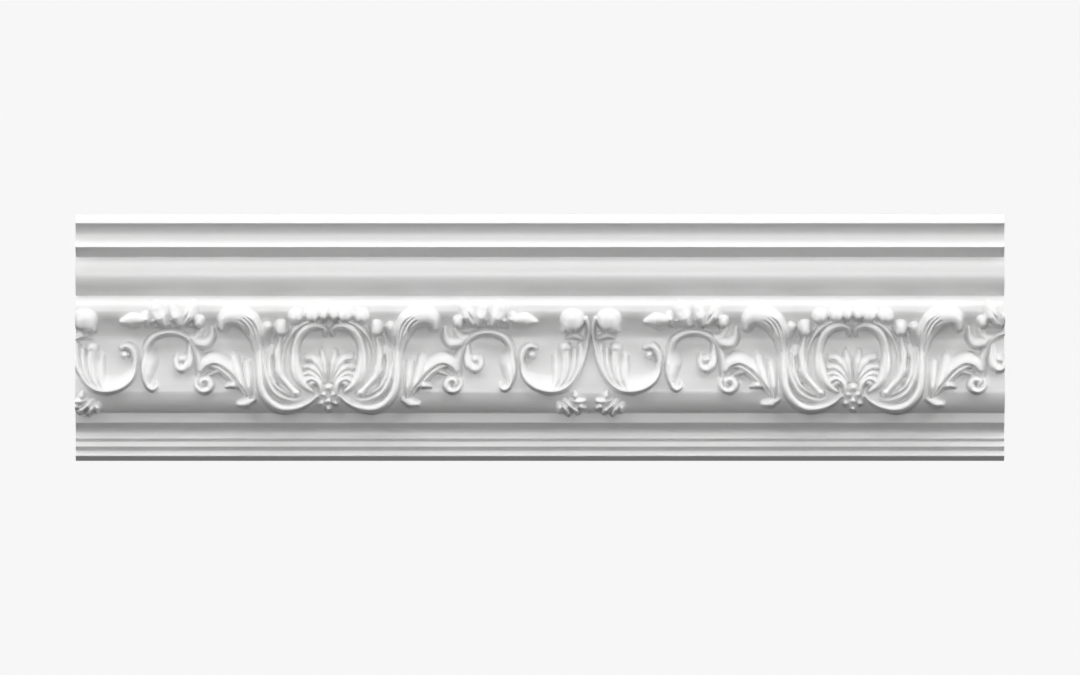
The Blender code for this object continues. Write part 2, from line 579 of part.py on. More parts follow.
def cornice_length():
    outline, first_carved, last_carved = section()
    bm = blank_length(outline, first_carved, last_carved)
    raise_carving(bm, outline, first_carved, last_carved)
    mesh = bpy.data.meshes.new("cornice_length")
    bm.to_mesh(mesh)
    bm.free()
    mesh.materials.append(cast_white())
    return bpy.data.objects.new("cornice_length", mesh)


def main():
    for obj in list(bpy.data.objects):
        bpy.data.objects.remove(obj)
    collection = bpy.data.collections.new("Carved cornice moulding")
    bpy.context.scene.collection.children.link(collection)
    cornice = cornice_length()
    collection.objects.link(cornice)
    thin_out(cornice)


main()
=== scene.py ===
import math

import bmesh
import bpy
import numpy as np
from mathutils import Matrix, Vector


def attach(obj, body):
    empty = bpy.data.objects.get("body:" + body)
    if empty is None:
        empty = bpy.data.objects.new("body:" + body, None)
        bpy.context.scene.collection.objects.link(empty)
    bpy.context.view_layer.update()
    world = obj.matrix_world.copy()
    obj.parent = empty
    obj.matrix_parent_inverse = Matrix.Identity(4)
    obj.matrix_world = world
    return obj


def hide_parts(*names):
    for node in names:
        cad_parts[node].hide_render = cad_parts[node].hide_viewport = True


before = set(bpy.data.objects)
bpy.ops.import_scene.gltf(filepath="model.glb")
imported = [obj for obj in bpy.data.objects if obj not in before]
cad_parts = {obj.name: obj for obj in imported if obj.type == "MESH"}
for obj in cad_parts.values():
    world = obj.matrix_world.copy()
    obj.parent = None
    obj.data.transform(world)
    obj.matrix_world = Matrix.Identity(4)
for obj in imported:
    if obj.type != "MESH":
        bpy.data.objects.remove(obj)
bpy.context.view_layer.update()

# Shapes are worked out in millimetres of the full-size moulding and written into the mesh in metres.
metre = 0.001


def linearColour(hexCode):
    channels = [int(hexCode[i : i + 2], 16) / 255 for i in (1, 3, 5)]
    return [c / 12.92 if c <= 0.04045 else ((c + 0.055) / 1.055) ** 2.4 for c in channels] + [1.0]


def addNode(tree, kind, settings=None, inputs=None):
    node = tree.nodes.new(kind)
    for name, value in (settings or {}).items():
        setattr(node, name, value)
    for name, value in (inputs or {}).items():
        if isinstance(value, bpy.types.NodeSocket):
            tree.links.new(value, node.inputs[name])
        else:
            node.inputs[name].default_value = value
    return node


# The moulding's members, from its two edges in to the carved frieze.
cornice = {
    "length": 532.0,
    "drop": 100.0,
    "bed": 25.5,
    "ceilingFillet": 7.4,
    "topQuirk": 1.2,
    "cavetto": 8.05,
    "arris": 2.0,
    "drip": 8.2,
    "ovolo": 15.6,
    "noseFillet": 5.0,
    "nose": 7.6,
    "footSoffit": 4.2,
    "footFillet": 4.0,
    "lowerStep": 3.5,
    "lowerFillet": 4.0,
    "middleStep": 2.4,
    "smallCavetto": 4.6,
    "upperStep": 3.5,
    "fasciaLean": 4.2,
    "fasciaRise": 4.0,
    "swellRadius": 15.5,
    "swellTurn": 48.0,
    "swellPull": 10.0,
    "friezeTopPull": 16.0,
    "softness": 0.28,  # a casting's edges are a little round
    "softRim": 1.0,  # the rounding fades out over this much of each outer edge
    "arcSteps": 24,
    "swellSteps": 40,
    "hollowSteps": 100,
    "sectionStep": 0.05,
    "memberStep": 0.25,
    "carvedStep": 0.42,
    "frontWithin": 12.0,  # the front stays this near to the raking plane, and the back is further in
    "triangles": 190000,
    "carvedShare": 10,  # how much more the carving resists thinning than the plain members
    "trueWithin": 0.15,  # points this near to a cut end or a bed belong to it
}


def quarterRound(start, centreOffset, turn, radius):
    centre = start + np.array(centreOffset) * radius
    y, z = start - centre
    steps = cornice["arcSteps"]
    angles = turn * math.pi / 2 * np.arange(1, steps + 1) / steps
    return [centre + (y * math.cos(a) - z * math.sin(a), y * math.sin(a) + z * math.cos(a)) for a in angles]


def frontOutline(c):
    # y and z of the front, from the wall edge up to the ceiling edge, and the carved stretch's two ends
    upper = [np.array([-c["drop"], c["drop"] - c["bed"] / 2])]
    upper.append(upper[-1] + (0, -c["ceilingFillet"]))
    upper.append(upper[-1] + (c["topQuirk"], 0))
    upper += quarterRound(upper[-1], (0, -1), -1, c["cavetto"])
    upper.append(upper[-1] + (0, -c["arris"]))
    upper.append(upper[-1] + (c["drip"], 0))
    upper += quarterRound(upper[-1], (1, 0), 1, c["ovolo"])
    carvedTop = upper[-1]
    upper.append(upper[-1] + (0, -c["noseFillet"]))
    upper += quarterRound(upper[-1], (1, 0), 1, c["nose"])
    lower = [np.array([0.0, -c["bed"] / 2])]
    lower.append(lower[-1] + (-c["footSoffit"], 0))
    lower.append(lower[-1] + (0, c["footFillet"]))
    lower.append(lower[-1] + (-c["lowerStep"], 0))
    lower.append(lower[-1] + (0, c["lowerFillet"]))
    lower.append(lower[-1] + (-c["middleStep"], 0))
    lower += quarterRound(lower[-1], (-1, 0), 1, c["smallCavetto"])
    lower.append(lower[-1] + (-c["upperStep"], 0))
    carvedFoot = lower[-1]
    lower.append(lower[-1] + (-c["fasciaLean"], c["fasciaRise"]))
    # The frieze swells out over the fascia and swings back in under the nose.
    foot, top, turn = lower[-1], upper[-1], math.radians(c["swellTurn"])
    rakeUp, rakeOut = np.array([-1, 1]) / math.sqrt(2), np.array([-1, -1]) / math.sqrt(2)
    frieze = []
    for a in np.linspace(turn, 0, c["swellSteps"] + 1)[1:]:
        rise, bulge = math.sin(turn) - math.sin(a), math.cos(a) - math.cos(turn)
        frieze.append(foot + c["swellRadius"] * (rise * rakeUp + bulge * rakeOut))
    handles = (frieze[-1], frieze[-1] + rakeUp * c["swellPull"], top + (c["friezeTopPull"], 0), top)
    t = np.linspace(0, 1, c["hollowSteps"] + 1)[1:-1, None]
    weights = ((1 - t) ** 3, 3 * t * (1 - t) ** 2, 3 * t * t * (1 - t), t**3)
    frieze += list(sum(w * h for w, h in zip(weights, handles)))
    return np.array(lower + frieze + upper[::-1]), carvedFoot, carvedTop


class RakingFace:
    # The front, as the distance it stands out from the plane through the wall edge and the ceiling edge.
    def __init__(self, c):
        points, carvedFoot, carvedTop = frontOutline(c)
        self.edge = points[0]
        self.up = np.array([-1, 1]) / math.sqrt(2)
        self.out = np.array([-1, -1]) / math.sqrt(2)
        self.foot = float((carvedFoot - self.edge) @ self.up)
        self.top = float((carvedTop - self.edge) @ self.up)
        high, stand = (points - self.edge) @ self.up, (points - self.edge) @ self.out
        self.full = float(high[-1])
        self.step = c["sectionStep"]
        self.high = np.arange(0, self.full + self.step / 2, self.step)
        plain = np.interp(self.high, high, stand)
        reach = int(4 * c["softness"] / self.step)
        k = np.exp(-0.5 * (np.arange(-reach, reach + 1) * self.step / c["softness"]) ** 2)
        soft = np.convolve(np.pad(plain, reach, "reflect", reflect_type="odd"), k / k.sum(), "valid")
        edgeShare = np.clip(np.minimum(self.high, self.full - self.high) / c["softRim"], 0, 1)
        self.stand = plain + (soft - plain) * edgeShare
        self.slope = np.gradient(self.stand, self.step)

    def at(self, high):
        return np.interp(high, self.high, self.stand)

    def slopeAt(self, high):
        return np.interp(high, self.high, self.slope)

    def place(self, high, stand):
        y = self.edge[0] + self.up[0] * high + self.out[0] * stand
        z = self.edge[1] + self.up[1] * high + self.out[1] * stand
        return y, z


# The carving is drawn on a sheet half a repeat long, from the shell's axis to the middle of the
# paired leaves. Each half repeat mirrors the next.
carving = {
    "repeat": 300.0,
    "firstAxis": 145.0,  # from the left end to the middle of the first shell
    "sheetLength": 150.0,
    "step": 0.25,
    "blend": 0.7,
    "fullness": 1.18,  # how much broader a raised form is than its drawn line
    "softness": 0.3,
    "softRim": 1.0,  # the carving fades out over this much at the frieze's foot and top
    # how much further the forms stand out at three heights on the raking face
    "formHeights": (36, 62, 82),
    "formShares": (1.55, 1.22, 1.25),
    "buried": 0.7,  # share of the ground's stand that buries the carving, so that its crests keep level
    "buriedFrom": -1.0,
}


def smoothPath(points, perSpan=10):
    p = np.array(points, float)
    p = np.vstack([2 * p[0] - p[1], p, 2 * p[-1] - p[-2]])
    out = []
    for i in range(1, len(p) - 2):
        a, b, c, d = p[i - 1 : i + 3]
        for k in range(perSpan):
            t = k / perSpan
            bend = (2 * a - 5 * b + 4 * c - d) * t * t + (3 * b - a - 3 * c + d) * t**3
            out.append(0.5 * (2 * b + (c - a) * t + bend))
    out.append(p[-2])
    return np.array(out)


def spiralPath(x, y, first, last, start, end):
    a = np.radians(np.linspace(start, end, max(6, int(abs(end - start) / 30))))
    r = np.linspace(first, last, len(a))
    return np.stack([x + r * np.cos(a), y + r * np.sin(a)], axis=1)


class CarvedSheet:
    # Heights above the plain frieze. Across is the distance from the shell's axis, up is the height on
    # the raking face.
    def __init__(self, c, face):
        self.step, self.blend, self.fullness = c["step"], c["blend"], c["fullness"]
        self.softness, self.softRim = c["softness"], c["softRim"]
        self.foot, self.top = face.foot, face.top
        self.x = np.arange(0, c["sheetLength"] + self.step / 2, self.step)
        self.y = np.arange(self.foot, self.top + self.step / 2, self.step)
        self.height = np.zeros((len(self.y), len(self.x)))

    def window(self, low, high):
        cols = slice(*np.searchsorted(self.x, (low[0], high[0])))
        rows = slice(*np.searchsorted(self.y, (low[1], high[1])))
        return rows, cols, *np.meshgrid(self.x[cols], self.y[rows])

    def raiseTo(self, rows, cols, form):
        here = self.height[rows, cols]
        near = np.clip(1 - np.abs(here - form) / self.blend, 0, 1)
        joined = np.maximum(here, form) + near**2 * self.blend / 4
        self.height[rows, cols] = np.where(form > 0, joined, here)

    def band(self, points, widths, heights, inner=None, sag=0.45, crown=2.2, edge=0.5, cut=False):
        # A leaf, rib or scroll along a smooth path, with its half widths and crest heights spread along it.
        # Sag lowers its crest, so that its upper side slopes gently and its lower side is steep.
        # Inner widths on its left side make it a scoop that fades out on that side.
        path = smoothPath(points)
        steps = np.diff(path, axis=0)
        lengths = np.hypot(*steps.T)
        along = np.concatenate([[0], np.cumsum(lengths)]) / lengths.sum()
        full = 1 if cut else self.fullness
        widths = [full * w for w in widths]
        reach = max(*widths, *(inner or ())) + self.step
        rows, cols, gx, gy = self.window(path.min(0) - reach, path.max(0) + reach)
        if gx.size == 0:
            return
        best = np.full(gx.shape, np.inf)
        share = np.zeros(gx.shape)
        scooped = np.zeros(gx.shape, bool)
        sag = 0 if inner or cut else sag
        for (px, py), (dx, dy), size, a in zip(path, steps, lengths, along):
            t = np.clip(((gx - px) * dx + (gy - py) * dy) / size**2, 0, 1)
            ox, oy = gx - px - t * dx, gy - py - t * dy
            here = a + t * size / lengths.sum()
            width = np.interp(here, np.linspace(0, 1, len(widths)), widths)
            left = dx * oy > dy * ox
            if inner:
                width = np.where(left, np.interp(here, np.linspace(0, 1, len(inner)), inner), width)
            up, across = oy / width + sag, ox / width
            q = (np.sqrt(up**2 + (1 - sag**2) * across**2) - sag * up) / (1 - sag**2)
            closer = q < best
            best = np.where(closer, q, best)
            share = np.where(closer, here, share)
            scooped = np.where(closer, left & bool(inner), scooped)
        crest = np.interp(share, np.linspace(0, 1, len(heights)), heights)
        q = np.clip(best, 0, 1)
        form = crest * np.where(scooped, (1 - q**1.4) ** 1.3, (1 - q**crown) ** edge)
        if cut:
            self.height[rows, cols] = np.maximum(self.height[rows, cols] - form, 0)
        else:
            self.raiseTo(rows, cols, form)

    def groove(self, points, width, depth):
        widths = (width * 0.4, width, width, width * 0.4)
        self.band(points, widths, (depth * 0.4, depth, depth * 0.4), edge=1.0, cut=True)

    def dome(self, x, y, rx, ry, height, drop=0.0, crown=2.0, edge=0.5):
        # A bead, boss or turned-over leaf tip. Drop moves its highest point down, so that its lower
        # side is steep.
        rows, cols, gx, gy = self.window((x - rx, y - ry), (x + rx, y + ry))
        across, up = (gx - x) / rx, (gy - y) / ry + drop * (1 - np.abs((gx - x) / rx) ** 2)
        up = np.where(up > 0, up / (1 + drop), up / (1 - drop))
        q = (np.abs(across) ** crown + np.abs(up) ** crown) ** (1 / crown)
        self.raiseTo(rows, cols, height * np.clip(1 - q**2.1, 0, 1) ** edge)

    def soften(self, buried):
        # Where the ground stands forward it buries the foot of what crosses it.
        # Every edge comes out of the mould a little round.
        self.height = np.maximum(self.height - buried[:, None], 0)
        reach = int(3 * self.softness / self.step) + 1
        k = np.exp(-0.5 * (np.arange(-reach, reach + 1) * self.step / self.softness) ** 2)
        k /= k.sum()
        padded = np.pad(self.height, reach, mode="reflect")
        blurred = np.apply_along_axis(lambda line: np.convolve(line, k, "valid"), 0, padded)
        self.height = np.apply_along_axis(lambda line: np.convolve(line, k, "valid"), 1, blurred)
        rim = np.minimum(self.y - self.foot, self.top - self.y) / self.softRim
        self.height *= np.clip(rim, 0, 1)[:, None]
        self.rise, self.run = np.gradient(self.height, self.step)

    def sample(self, field, x, y):
        i = np.clip((y - self.y[0]) / self.step, 0, len(self.y) - 1.001)
        j = np.clip((x - self.x[0]) / self.step, 0, len(self.x) - 1.001)
        i0, j0 = i.astype(int), j.astype(int)
        fi, fj = i - i0, j - j0
        low = field[i0, j0] * (1 - fj) + field[i0, j0 + 1] * fj
        high = field[i0 + 1, j0] * (1 - fj) + field[i0 + 1, j0 + 1] * fj
        return low * (1 - fi) + high * fi


def carveCartouche(sheet):
    # the fringe's body, the ridges on it and the rim round it
    body = [(27, 75), (30.5, 68), (31.5, 58), (29.8, 49), (25.5, 41.4), (19, 36.6), (12, 36)]
    sheet.band(body, (3, 5.5, 7.4, 7.8, 7.2, 5, 3), (2.6, 3.4, 3.8, 4.4, 5.2, 5.6, 5), sag=0, crown=6)
    rim = [(39.2, 73), (39.4, 61), (39.2, 50.5), (37.9, 41.6), (34.1, 35.2), (29, 31.5), (23.6, 30.4)]
    rim += [(16.6, 31.5), (10.8, 34.2), (6.8, 37.6)]
    rimWidths = (0.8, 1.2, 1.9, 2.4, 2.8, 2.9, 2.8, 2.4, 2.0, 1.5)
    sheet.band(rim, rimWidths, (5, 6.4, 8, 9, 9.4, 9.4, 9.2, 8.4, 7.4, 6.6))
    second = [(37.2, 63), (36.8, 55), (34.6, 46.8), (30.8, 40.2), (25.6, 36.6), (20, 35.2), (15.6, 35.9)]
    sheet.band(second, (0.8, 1.3, 1.8, 2.0, 1.9, 1.7, 1.2), (5.6, 7.2, 8.4, 8.8, 8.4, 7.4, 5.6))
    first = [(33.8, 61), (33.8, 54), (32, 47.2), (28.4, 42.2), (24, 39), (20.2, 37.8)]
    sheet.band(first, (0.9, 1.5, 1.9, 2.0, 1.8, 1.2), (5.6, 7.6, 8.6, 8.6, 7.8, 6))
    wavy = [(27, 74), (28.4, 67), (29.2, 60), (28.8, 54), (27.2, 49.4), (24, 45.6), (20.8, 42)]
    wavy += [(18.8, 39.4)]
    sheet.band(wavy, (1.6, 1.6, 2.1, 2.3, 2.7, 2.4, 2.4, 2.8), (6.2, 7, 8, 8.4, 9, 8.6, 8.8, 8.4))
    sheet.dome(18.6, 39.2, 3.4, 3.1, 8.8)
    sheet.groove([(31.5, 60.6), (31.6, 57), (30.8, 53.2)], 1.3, 4.0)
    sheet.groove([(29.8, 44.6), (27, 43), (24.2, 41.8)], 1.2, 4.0)
    sheet.groove([(28.6, 74.4), (30, 70.6), (31.2, 66.6)], 1.5, 2.6)
    sheet.groove([(32.4, 77), (33.6, 71), (35.6, 65)], 1.0, 3.0)


def carveScroll(sheet):
    # the C scroll round the shell: a high inner roll, a channel and a thin outer rib, and four bosses
    channel = [(8, 78.6), (15, 76.4), (20.4, 71.4), (23, 64.6), (23.4, 57), (22, 50.6), (18.6, 45.6)]
    sheet.band(channel, (1.6, 2.4, 2.8, 3.2, 3.4, 3.2, 2.2), (4, 4), sag=0, crown=6)
    rib = [(5.6, 79.8), (11, 79.8), (16, 77.8), (20.8, 73.4), (24.2, 67.4), (25.9, 60), (25.6, 53)]
    rib += [(23.6, 47.6), (20, 43.8)]
    ribWidths = (0.8, 1.3, 1.5, 1.4, 1.3, 1.2, 1.2, 1.1, 0.8)
    sheet.band(rib, ribWidths, (6.6, 8, 8.2, 7.6, 7, 6.6, 6.4, 6.2, 5.4))
    roll = [(2.2, 72.8), (2.0, 75.4), (4.6, 77.4), (9, 77.8), (13.4, 75.9), (16.9, 72), (18.9, 66.4)]
    roll += [(19.4, 59.6), (18.6, 52.6), (16.2, 46.8), (12.8, 43), (9.4, 40.6)]
    rollWidths = (1.1, 1.7, 2.3, 2.7, 2.5, 2.3, 2.4, 3.0, 3.5, 3.3, 2.6, 1.8)
    sheet.band(roll, rollWidths, (6, 7.4, 8.6, 9, 8.6, 8.2, 8, 8.4, 8.8, 8.6, 7.8, 6.8))
    sheet.dome(9.4, 83.8, 5.3, 5.4, 9.8, drop=0.5)
    sheet.dome(3.2, 84, 3.4, 4.6, 9, drop=0.45)
    sheet.dome(18.4, 83, 5.0, 5.0, 9.8, drop=0.5)
    sheet.dome(27.3, 76.0, 4.4, 5.4, 9.4, drop=0.5)


def carveShell(sheet):
    # the fan of lobes, its two bulbs, the collar and the rosette under it
    sheet.dome(0, 50, 9, 9, 3.4, crown=2.4, edge=1.0)
    lobes = (
        (((1.2, 46), (2.2, 54), (3.8, 62.8)), (1.0, 1.8, 2.2, 1.6)),
        (((2, 46), (4.4, 53.4), (8.2, 58.8), (12.2, 59.6)), (1.1, 2.1, 2.6, 2.3)),
        (((2.8, 45.6), (6, 51), (9.8, 54.2), (13.2, 54.2)), (1.1, 1.9, 2.3, 2.0)),
        (((3.4, 45), (7.2, 49), (10.8, 50.8), (13.4, 50.2)), (1.1, 1.8, 2.0, 1.6)),
    )
    for path, widths in lobes:
        sheet.band(path, widths, (6, 7.2, 7.6, 6.2), sag=0.45)
    sheet.dome(9.2, 44.2, 4.4, 4.2, 7.6)
    bulb = [(5.4, 36.8), (4.6, 41), (5.8, 45.4), (9.4, 47.8), (12.8, 46.2), (13, 43.2), (10.6, 42.2)]
    sheet.band(bulb, (1.3, 1.6, 1.9, 2.1, 2.1, 1.8, 1.3), (6, 6.8, 7.4, 7.8, 7.8, 7.4, 6.4))
    sheet.groove([(7.8, 38.2), (7.6, 41.4), (8.8, 43.8)], 0.9, 4.0)
    sheet.dome(0, 42, 3.4, 2.8, 7.4, crown=4)
    sheet.dome(0, 34.4, 2.3, 2.4, 8.8)
    for turn in (-90, -18, 54):
        x, y = 4.3 * math.cos(math.radians(turn)), 34.4 + 4.5 * math.sin(math.radians(turn))
        sheet.dome(x, y, 2.4, 2.2, 7.4)


def carveCurledLeaf(sheet):
    # the leaf climbs beside the fringe and its broad tip turns over to the outside
    spine = [(40, 50), (40.6, 60), (41, 68), (42.2, 74), (45.4, 79.6), (50.5, 83), (55.6, 83.5)]
    spine += [(59, 81.6), (60.2, 77.8)]
    widths = (0.9, 1.3, 2.0, 3.2, 4.8, 5.6, 5.6, 4.8, 3.2)
    sheet.band(spine, widths, (4.4, 5, 5.8, 7.2, 9.4, 10.8, 11, 10.2, 8), sag=0.65)
    for a, b in ((-0.9, 0.0), (0.9, -0.6), (2.8, -2.0)):
        vein = [(41.2 + 0.6 * a, 69), (42 + a, 74.2 + b), (44.6 + a, 79.4 + b), (48 + a, 82.2 + b)]
        sheet.groove(vein, 0.7, 2.2)
    sheet.band([(35.2, 77), (36.4, 73.2), (37.6, 67)], (2.6, 2.2, 0.8), (8.4, 7.4, 4.8))


def carveSpray(sheet):
    # pointed petals that fan out from one root, and a curl under the broad one
    lobes = (
        (((45, 37), (45.6, 44), (46.2, 51), (46.8, 56.6)), (1.3, 2.3, 2.6, 2.3), (7.4, 9.0, 8.2, 6.2)),
        (((47.2, 38.5), (50.4, 46), (52.8, 53), (53.8, 60)), (1.4, 2.5, 3.1, 2.5), (7.6, 9.2, 8.4, 6.4)),
        (
            ((46, 36.6), (51.6, 45), (57.4, 52.6), (63.4, 57.2), (69, 57.4), (73, 53)),
            (1.2, 2.6, 4.4, 5.2, 4.4, 2.5),
            (5.8, 7.2, 8.4, 8.8, 8.4, 7),
        ),
        (((57.6, 49.6), (63, 52), (68.4, 49.8)), (0.9, 2.3, 1.3), (4.6, 7, 5.6)),
        (((50, 42.2), (54, 44.4), (58.4, 43)), (1.3, 2.7, 1.3), (6.4, 9, 6)),
        (((43, 35.4), (47, 33.8), (51, 33.2)), (1.8, 3.0, 2.0), (7.2, 8.8, 7.2)),
    )
    for path, widths, heights in lobes:
        sheet.band(path, widths, heights, sag=0.5)
    sheet.groove([(46, 36.6), (52, 44.8), (58, 51.4), (64.4, 55), (69.6, 53.6), (72, 50.8)], 0.8, 3.2)
    curl = spiralPath(70.8, 44.8, 5.2, 1.3, 20, -400)
    sheet.band(curl, (1.5, 1.8, 2.3, 2.5, 2.1, 1.4), (6.6, 7.4, 8, 8, 7.6, 7))


def carveArch(sheet):
    # the C-scroll arch: its stem, its leg with a scooped leaf, a hook under it and a tulip beside it
    stem = [(74.6, 47), (74, 54), (75, 61.4), (77.6, 67.4), (82, 71.6), (87.6, 73.7), (93.4, 73.9)]
    stem += [(98.8, 72.2), (102.6, 68.8), (104.6, 64), (105, 58)]
    stemWidths = (1.8, 2.2, 2.1, 1.9, 1.8, 1.8, 1.8, 1.9, 1.9, 1.8, 1.5)
    sheet.band(stem, stemWidths, (5.6, 6.4, 6.2, 6.2, 6.2, 6.4, 6.8, 7.2, 7, 6.6, 6))
    leg = [(100.6, 42.2), (103.4, 43), (105.2, 47.4), (105.8, 53), (105.2, 60), (104.2, 66)]
    legHeights = (6.8, 7.8, 8.2, 8.0, 6.8, 5.6)
    sheet.band(leg, (1.4, 1.6, 1.8, 1.8, 1.5, 1.2), legHeights, inner=(2, 5, 10.5, 12, 6.5, 2))
    toe = [(98.4, 45.4), (98.6, 42.8), (100.8, 41.4), (103.4, 42.8)]
    sheet.band(toe, (1.0, 1.5, 1.7, 1.6), (5.6, 6.8, 7.4, 7.2))
    sheet.groove([(99.8, 46.0), (101, 44.2), (103, 45.0)], 0.8, 4.4)
    hook = [(79.8, 68.4), (79.4, 62.4), (80, 56.8), (82.8, 53.4), (86, 54.4), (87.4, 58), (87.2, 61)]
    sheet.band(hook, (0.9, 1.5, 2.1, 2.8, 2.6, 1.9, 1.0), (4.6, 6, 7.6, 8.6, 8.2, 7, 5))
    sheet.dome(83.8, 58.8, 3.0, 2.8, 7.6, drop=0.3)
    tulip = [(66.7, 75.6), (67.4, 70.8), (70.2, 67.8), (74.4, 68.2), (78.2, 71)]
    sheet.band(tulip, (1.2, 2.3, 3.0, 3.1, 2.2), (5, 6.4, 8, 8.2, 7))
    sheet.band([(73, 75), (74.8, 72.2), (76.8, 70.4)], (1.5, 2.3, 2.2), (5.8, 7, 7))


def carveFlowers(sheet):
    # the cluster on the arch: petals that stand up from it, one that lies along it, and small buds
    sheet.band([(77, 79.2), (90, 80), (106, 79)], (2.2, 3.6, 2.2), (3, 3.8, 3), crown=4)
    petals = (
        (((82.4, 79), (79.4, 84.2), (77.2, 89)), (1.9, 3.5, 3.2), 9),
        (((85.8, 78.8), (87.4, 83.8), (88.8, 88.2)), (2.0, 3.4, 3.0), 9),
        (((93.8, 78.8), (96.6, 83.8), (98.6, 88.2)), (2.2, 4.2, 3.9), 9.6),
        (((103.9, 79.6), (104.7, 84.2)), (1.9, 2.5), 8.2),
        (((106.6, 80.8), (112, 81.2), (118.4, 80)), (2.7, 3.7, 1.6), 9),
        (((107, 78.2), (111.6, 77.8), (116, 78.8)), (1.5, 1.9, 0.9), 6),
    )
    for path, widths, height in petals:
        sheet.band(path, widths, (height * 0.9, height, height * 0.72), sag=0.5, edge=0.55)
    sheet.dome(74.4, 79.8, 4.0, 4.3, 9, drop=0.45)
    buds = ((89.6, 80.8, 1.9), (85.8, 77.4, 1.4), (91.6, 78, 1.5), (96.4, 78, 1.5), (100.2, 80, 2.2))
    for x, y, r in (*buds, (103.8, 77.6, 1.5)):
        sheet.dome(x, y, r, r, 7)
    sheet.groove([(83.6, 79.4), (81.4, 82.4), (79.8, 85.4)], 0.7, 2.4)


def carveCuppedLeaf(sheet):
    # the cup faces up, its fingers stand over its far side and its tip turns over at the top
    rim = [(110.6, 57), (110.8, 50.6), (113.6, 45.4), (118.8, 41.6), (125.4, 39.6), (132, 40)]
    rim += [(138, 43.6), (142.8, 50), (146, 58.4), (147.9, 67), (148.4, 75), (147, 81)]
    sheet.band(
        rim,
        (1.1, 1.4, 1.7, 1.9, 1.9, 1.8, 1.6, 1.5, 1.3, 1.2, 1.3, 1.7),
        (6.8, 7.6, 8.4, 8.8, 8.8, 8.2, 7.4, 6.6, 6, 5.6, 5.8, 6.2),
        inner=(2.5, 6, 11.5, 15, 16.5, 16, 14, 9, 5, 3, 2, 1.8),
    )
    fingers = (
        (
            ((128.8, 41.6), (130.9, 48), (130.9, 54.6), (130.2, 60)),
            (1.6, 2.7, 2.9, 2.1),
            (8.2, 8, 7, 5.2),
        ),
        (
            ((131.2, 41.8), (134.6, 48), (136, 55), (135.8, 60.6), (134.6, 64.6)),
            (1.5, 2.5, 2.6, 2.5, 2.3),
            (7.8, 8.2, 7.8, 7.2, 7),
        ),
        (
            ((134.6, 42.8), (138.6, 49), (140.4, 56), (140.8, 63.6)),
            (1.3, 1.9, 1.9, 1.4),
            (7.6, 7.8, 7.2, 5.8),
        ),
        (
            ((138.2, 44.8), (142.4, 51.4), (144.2, 59), (144, 66.6)),
            (1.3, 1.8, 1.8, 1.3),
            (7.4, 7.6, 6.8, 5.4),
        ),
    )
    for path, widths, heights in fingers:
        sheet.band(path, widths, heights)
    sheet.dome(135.4, 65, 3.5, 3.3, 7.4, drop=0.2)
    lip = [(110.5, 54), (110.6, 60), (112.4, 64.4), (115.6, 66.2), (118.6, 65)]
    sheet.band(lip, (1.3, 1.7, 2.0, 1.9, 1.3), (6.8, 7.4, 7.8, 7.4, 5.4))
    sheet.dome(116.2, 61, 2.8, 2.6, 7.4, drop=0.2)
    sheet.dome(139.6, 80.2, 7.4, 7.4, 11, drop=0.5)
    sheet.band([(136, 80), (135, 75.2)], (2.6, 1.8), (9, 6.8))
    sheet.band([(136.8, 70.8), (140.6, 72), (144.8, 70.2)], (1.0, 1.8, 1.1), (4.6, 6.2, 5.2))


def carveTassel(sheet):
    # a low mound with small fingers on it, one of a pair under the cupped leaves
    sheet.dome(139.4, 33.2, 7.6, 5.8, 5.2, edge=1.0)
    fingers = (
        ((140.6, 39.6), (141.4, 36)),
        ((138.6, 35.2), (143, 34.4), (146, 34.6)),
        ((143.0, 33.0), (146, 30.6)),
        ((134.8, 35.0), (138.4, 31.8), (140.8, 29.6)),
        ((133.6, 32.6), (136.2, 29.6), (137.4, 27.6)),
        ((131.8, 33.2), (132.6, 29.2)),
        ((140.2, 31.0), (142.6, 28.6)),
    )
    for path in fingers:
        sheet.band(path, (1.3, 1.9, 1.5), (6, 7.4, 6.6))


def carvedSheet(c, face):
    sheet = CarvedSheet(c, face)
    for carve in (
        carveCartouche, carveScroll, carveShell, carveCurledLeaf, carveSpray,
        carveArch, carveFlowers, carveCuppedLeaf, carveTassel,
    ):
        carve(sheet)
    sheet.height *= np.interp(sheet.y, c["formHeights"], c["formShares"])[:, None]
    sheet.soften(np.clip((face.at(sheet.y) - c["buriedFrom"]) * c["buried"], 0, None))
    return sheet


def readPoints(mesh):
    flat = np.empty(len(mesh.vertices) * 3, np.float32)
    mesh.vertices.foreach_get("co", flat)
    return flat.reshape(-1, 3).astype(float)


def joinRows(bm, below, above):
    # Rows of one length make quads. A plain row of two points makes two fans with a fine row.
    if len(below) == len(above):
        for quad in zip(below, below[1:], above[1:], above):
            bm.faces.new(quad)
        return
    plain, fine = (below, above) if len(below) < len(above) else (above, below)
    middle = len(fine) // 2
    fans = [(plain[0], a, b) for a, b in zip(fine[:middle], fine[1:])]
    fans.append((plain[0], fine[middle], plain[1]))
    fans += [(plain[1], a, b) for a, b in zip(fine[middle:], fine[middle + 1 :])]
    for fan in fans:
        bm.faces.new(fan if plain is above else fan[::-1])


